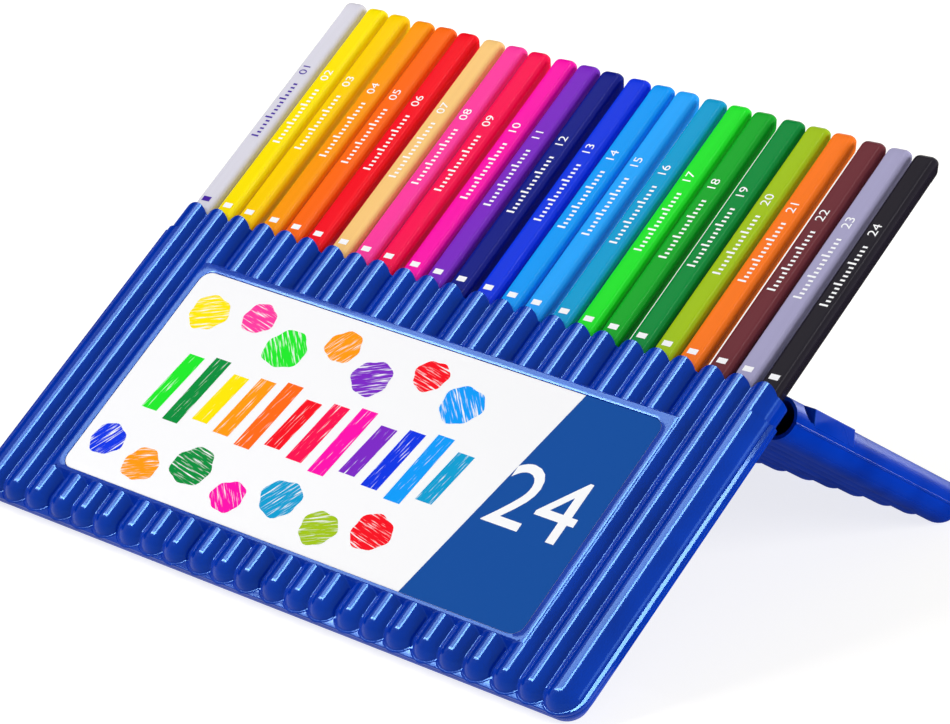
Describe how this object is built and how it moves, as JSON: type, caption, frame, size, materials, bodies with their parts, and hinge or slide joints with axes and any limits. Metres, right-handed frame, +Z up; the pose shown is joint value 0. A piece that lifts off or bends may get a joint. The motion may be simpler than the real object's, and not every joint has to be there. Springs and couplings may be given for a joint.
{
  "type": "easel pencil case",
  "caption": "Ribbed plastic case that holds a row of triangular coloured pencils and leans on its own turned-over lid, which is hooked behind it as a stand.",
  "frame": {"origin": "middle of the underside of the bounding box, on the table that the case stands on", "axes": "+X across the row of pencils, to the right seen from the label's side; +Y to the back, where the lid is; +Z up"},
  "size_m": [0.2068, 0.1612, 0.104],
  "materials": {
    "blue_plastic": "glossy moulded blue",
    "label_card": "glossy coated card",
    "pin_steel": "plain steel wire",
    "lacquer_01": "gloss lacquer on wood",
    "lacquer_02": "gloss lacquer on wood",
    "lacquer_03": "gloss lacquer on wood",
    "lacquer_04": "gloss lacquer on wood",
    "lacquer_05": "gloss lacquer on wood",
    "lacquer_06": "gloss lacquer on wood",
    "lacquer_07": "gloss lacquer on wood",
    "lacquer_08": "gloss lacquer on wood",
    "lacquer_09": "gloss lacquer on wood",
    "lacquer_10": "gloss lacquer on wood",
    "lacquer_11": "gloss lacquer on wood",
    "lacquer_12": "gloss lacquer on wood",
    "lacquer_13": "gloss lacquer on wood",
    "lacquer_14": "gloss lacquer on wood",
    "lacquer_15": "gloss lacquer on wood",
    "lacquer_16": "gloss lacquer on wood",
    "lacquer_17": "gloss lacquer on wood",
    "lacquer_18": "gloss lacquer on wood",
    "lacquer_19": "gloss lacquer on wood",
    "lacquer_20": "gloss lacquer on wood",
    "lacquer_21": "gloss lacquer on wood",
    "lacquer_22": "gloss lacquer on wood",
    "lacquer_23": "gloss lacquer on wood",
    "lacquer_24": "gloss lacquer on wood",
    "pigment_01": "matt wax and pigment",
    "pigment_02": "matt wax and pigment",
    "pigment_03": "matt wax and pigment",
    "pigment_04": "matt wax and pigment",
    "pigment_05": "matt wax and pigment",
    "pigment_06": "matt wax and pigment",
    "pigment_07": "matt wax and pigment",
    "pigment_08": "matt wax and pigment",
    "pigment_09": "matt wax and pigment",
    "pigment_10": "matt wax and pigment",
    "pigment_11": "matt wax and pigment",
    "pigment_12": "matt wax and pigment",
    "pigment_13": "matt wax and pigment",
    "pigment_14": "matt wax and pigment",
    "pigment_15": "matt wax and pigment",
    "pigment_16": "matt wax and pigment",
    "pigment_17": "matt wax and pigment",
    "pigment_18": "matt wax and pigment",
    "pigment_19": "matt wax and pigment",
    "pigment_20": "matt wax and pigment",
    "pigment_21": "matt wax and pigment",
    "pigment_22": "matt wax and pigment",
    "pigment_23": "matt wax and pigment",
    "pigment_24": "matt wax and pigment"
  },
  "bodies": {
    "case": {"body_front_shell": "blue_plastic", "body_back_shell": "blue_plastic", "label_card": "label_card", "hinge_pin_left": "pin_steel", "hinge_pin_right": "pin_steel"},
    "lid": {"lid_front_shell": "blue_plastic", "lid_back_shell": "blue_plastic"},
    "pencil_01": {"pencil_01_casing": "lacquer_01", "pencil_01_core": "pigment_01"},
    "pencil_02": {"pencil_02_casing": "lacquer_02", "pencil_02_core": "pigment_02"},
    "pencil_03": {"pencil_03_casing": "lacquer_03", "pencil_03_core": "pigment_03"},
    "pencil_04": {"pencil_04_casing": "lacquer_04", "pencil_04_core": "pigment_04"},
    "pencil_05": {"pencil_05_casing": "lacquer_05", "pencil_05_core": "pigment_05"},
    "pencil_06": {"pencil_06_casing": "lacquer_06", "pencil_06_core": "pigment_06"},
    "pencil_07": {"pencil_07_casing": "lacquer_07", "pencil_07_core": "pigment_07"},
    "pencil_08": {"pencil_08_casing": "lacquer_08", "pencil_08_core": "pigment_08"},
    "pencil_09": {"pencil_09_casing": "lacquer_09", "pencil_09_core": "pigment_09"},
    "pencil_10": {"pencil_10_casing": "lacquer_10", "pencil_10_core": "pigment_10"},
    "pencil_11": {"pencil_11_casing": "lacquer_11", "pencil_11_core": "pigment_11"},
    "pencil_12": {"pencil_12_casing": "lacquer_12", "pencil_12_core": "pigment_12"},
    "pencil_13": {"pencil_13_casing": "lacquer_13", "pencil_13_core": "pigment_13"},
    "pencil_14": {"pencil_14_casing": "lacquer_14", "pencil_14_core": "pigment_14"},
    "pencil_15": {"pencil_15_casing": "lacquer_15", "pencil_15_core": "pigment_15"},
    "pencil_16": {"pencil_16_casing": "lacquer_16", "pencil_16_core": "pigment_16"},
    "pencil_17": {"pencil_17_casing": "lacquer_17", "pencil_17_core": "pigment_17"},
    "pencil_18": {"pencil_18_casing": "lacquer_18", "pencil_18_core": "pigment_18"},
    "pencil_19": {"pencil_19_casing": "lacquer_19", "pencil_19_core": "pigment_19"},
    "pencil_20": {"pencil_20_casing": "lacquer_20", "pencil_20_core": "pigment_20"},
    "pencil_21": {"pencil_21_casing": "lacquer_21", "pencil_21_core": "pigment_21"},
    "pencil_22": {"pencil_22_casing": "lacquer_22", "pencil_22_core": "pigment_22"},
    "pencil_23": {"pencil_23_casing": "lacquer_23", "pencil_23_core": "pigment_23"},
    "pencil_24": {"pencil_24_casing": "lacquer_24", "pencil_24_core": "pigment_24"}
  },
  "joints": [
    {"name": "lid_swing", "type": "hinge", "parent": "case", "child": "lid", "pos_m": [0, -0.00156, 0.04637], "axis": [-1, 0, 0], "range_deg": [0, 112]},
    {"name": "pencil_01_slide", "type": "slide", "parent": "case", "child": "pencil_01", "axis": [0, 0.8249, 0.5653], "range_m": [0, 0.1]},
    {"name": "pencil_02_slide", "type": "slide", "parent": "case", "child": "pencil_02", "axis": [0, 0.8249, 0.5653], "range_m": [0, 0.1]},
    {"name": "pencil_03_slide", "type": "slide", "parent": "case", "child": "pencil_03", "axis": [0, 0.8249, 0.5653], "range_m": [0, 0.1]},
    {"name": "pencil_04_slide", "type": "slide", "parent": "case", "child": "pencil_04", "axis": [0, 0.8249, 0.5653], "range_m": [0, 0.1]},
    {"name": "pencil_05_slide", "type": "slide", "parent": "case", "child": "pencil_05", "axis": [0, 0.8249, 0.5653], "range_m": [0, 0.1]},
    {"name": "pencil_06_slide", "type": "slide", "parent": "case", "child": "pencil_06", "axis": [0, 0.8249, 0.5653], "range_m": [0, 0.1]},
    {"name": "pencil_07_slide", "type": "slide", "parent": "case", "child": "pencil_07", "axis": [0, 0.8249, 0.5653], "range_m": [0, 0.1]},
    {"name": "pencil_08_slide", "type": "slide", "parent": "case", "child": "pencil_08", "axis": [0, 0.8249, 0.5653], "range_m": [0, 0.1]},
    {"name": "pencil_09_slide", "type": "slide", "parent": "case", "child": "pencil_09", "axis": [0, 0.8249, 0.5653], "range_m": [0, 0.1]},
    {"name": "pencil_10_slide", "type": "slide", "parent": "case", "child": "pencil_10", "axis": [0, 0.8249, 0.5653], "range_m": [0, 0.1]},
    {"name": "pencil_11_slide", "type": "slide", "parent": "case", "child": "pencil_11", "axis": [0, 0.8249, 0.5653], "range_m": [0, 0.1]},
    {"name": "pencil_12_slide", "type": "slide", "parent": "case", "child": "pencil_12", "axis": [0, 0.8249, 0.5653], "range_m": [0, 0.1]},
    {"name": "pencil_13_slide", "type": "slide", "parent": "case", "child": "pencil_13", "axis": [0, 0.8249, 0.5653], "range_m": [0, 0.1]},
    {"name": "pencil_14_slide", "type": "slide", "parent": "case", "child": "pencil_14", "axis": [0, 0.8249, 0.5653], "range_m": [0, 0.1]},
    {"name": "pencil_15_slide", "type": "slide", "parent": "case", "child": "pencil_15", "axis": [0, 0.8249, 0.5653], "range_m": [0, 0.1]},
    {"name": "pencil_16_slide", "type": "slide", "parent": "case", "child": "pencil_16", "axis": [0, 0.8249, 0.5653], "range_m": [0, 0.1]},
    {"name": "pencil_17_slide", "type": "slide", "parent": "case", "child": "pencil_17", "axis": [0, 0.8249, 0.5653], "range_m": [0, 0.1]},
    {"name": "pencil_18_slide", "type": "slide", "parent": "case", "child": "pencil_18", "axis": [0, 0.8249, 0.5653], "range_m": [0, 0.1]},
    {"name": "pencil_19_slide", "type": "slide", "parent": "case", "child": "pencil_19", "axis": [0, 0.8249, 0.5653], "range_m": [0, 0.1]},
    {"name": "pencil_20_slide", "type": "slide", "parent": "case", "child": "pencil_20", "axis": [0, 0.8249, 0.5653], "range_m": [0, 0.1]},
    {"name": "pencil_21_slide", "type": "slide", "parent": "case", "child": "pencil_21", "axis": [0, 0.8249, 0.5653], "range_m": [0, 0.1]},
    {"name": "pencil_22_slide", "type": "slide", "parent": "case", "child": "pencil_22", "axis": [0, 0.8249, 0.5653], "range_m": [0, 0.1]},
    {"name": "pencil_23_slide", "type": "slide", "parent": "case", "child": "pencil_23", "axis": [0, 0.8249, 0.5653], "range_m": [0, 0.1]},
    {"name": "pencil_24_slide", "type": "slide", "parent": "case", "child": "pencil_24", "axis": [0, 0.8249, 0.5653], "range_m": [0, 0.1]}
  ]
}
